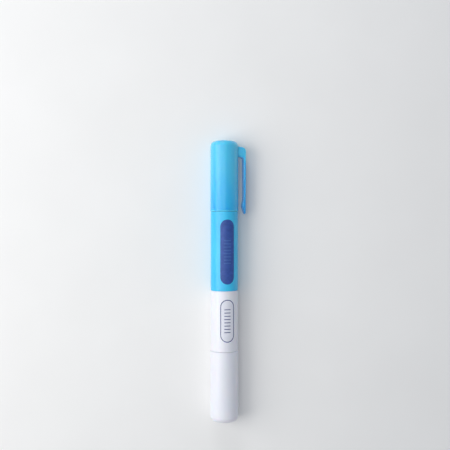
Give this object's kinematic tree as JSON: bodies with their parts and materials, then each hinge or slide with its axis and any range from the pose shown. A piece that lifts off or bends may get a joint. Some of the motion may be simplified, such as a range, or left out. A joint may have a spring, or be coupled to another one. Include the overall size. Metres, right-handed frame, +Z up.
{
  "type": "fabric marking pen",
  "caption": "Double-ended water-erasable fabric marking pen: blue marker end and white eraser end, each under a pull-off cap, with a pocket clip on the marker's cap.",
  "frame": {"origin": "on the pen's axis at the seam between the blue and the white barrel half", "axes": "+X along the pen's axis towards the marker's cap, +Z up with the pen lying on its side, and the clip towards -Y"},
  "size_m": [0.1405, 0.0179, 0.014],
  "materials": {
    "cap_blue": "translucent sky-blue moulded plastic",
    "barrel_blue": "satin cyan-blue moulded plastic",
    "panel_navy": "dark blue inlaid oval panel",
    "body_white": "white moulded plastic, slightly cool",
    "panel_white": "white inlaid panel with a printed navy outline",
    "nose_white": "white moulded plastic",
    "natural_plastic": "natural milky moulded plastic",
    "marker_fibre": "bonded fibre, soaked with blue ink",
    "eraser_fibre": "bonded white fibre",
    "inked_fibre": "fibre bundle soaked with blue ink",
    "eraser_wadding": "fibre bundle with clear eraser fluid",
    "clear_film": "clear film wrap"
  },
  "bodies": {
    "barrel": {"marker_barrel": "barrel_blue", "marker_oval_panel": "panel_navy", "centre_coupler": "natural_plastic", "marker_nose": "nose_white", "marker_nib": "marker_fibre", "marker_reservoir_core": "inked_fibre", "marker_reservoir_film": "clear_film", "eraser_barrel": "body_white", "eraser_oval_panel": "panel_white", "eraser_nose": "nose_white", "eraser_nib": "eraser_fibre", "eraser_reservoir_core": "eraser_wadding", "eraser_reservoir_film": "clear_film"},
    "marker_cap": {"marker_cap_shell": "cap_blue", "marker_cap_liner": "natural_plastic"},
    "eraser_cap": {"eraser_cap_shell": "body_white", "eraser_cap_liner": "natural_plastic"},
    "pocket_clip": {"marker_cap_clip": "cap_blue"}
  },
  "joints": [
    {"name": "marker_cap_pull", "type": "slide", "parent": "barrel", "child": "marker_cap", "axis": [1, 0, 0], "range_m": [0, 0.032]},
    {"name": "eraser_cap_pull", "type": "slide", "parent": "barrel", "child": "eraser_cap", "axis": [-1, 0, 0], "range_m": [0, 0.032]},
    {"name": "clip_flex", "type": "hinge", "parent": "marker_cap", "child": "pocket_clip", "pos_m": [0.065, -0.00955, -0.00168], "axis": [0, -0.1736, 0.9848], "range_deg": [0, 5], "stiffness_Nm_per_rad": 0.5}
  ]
}
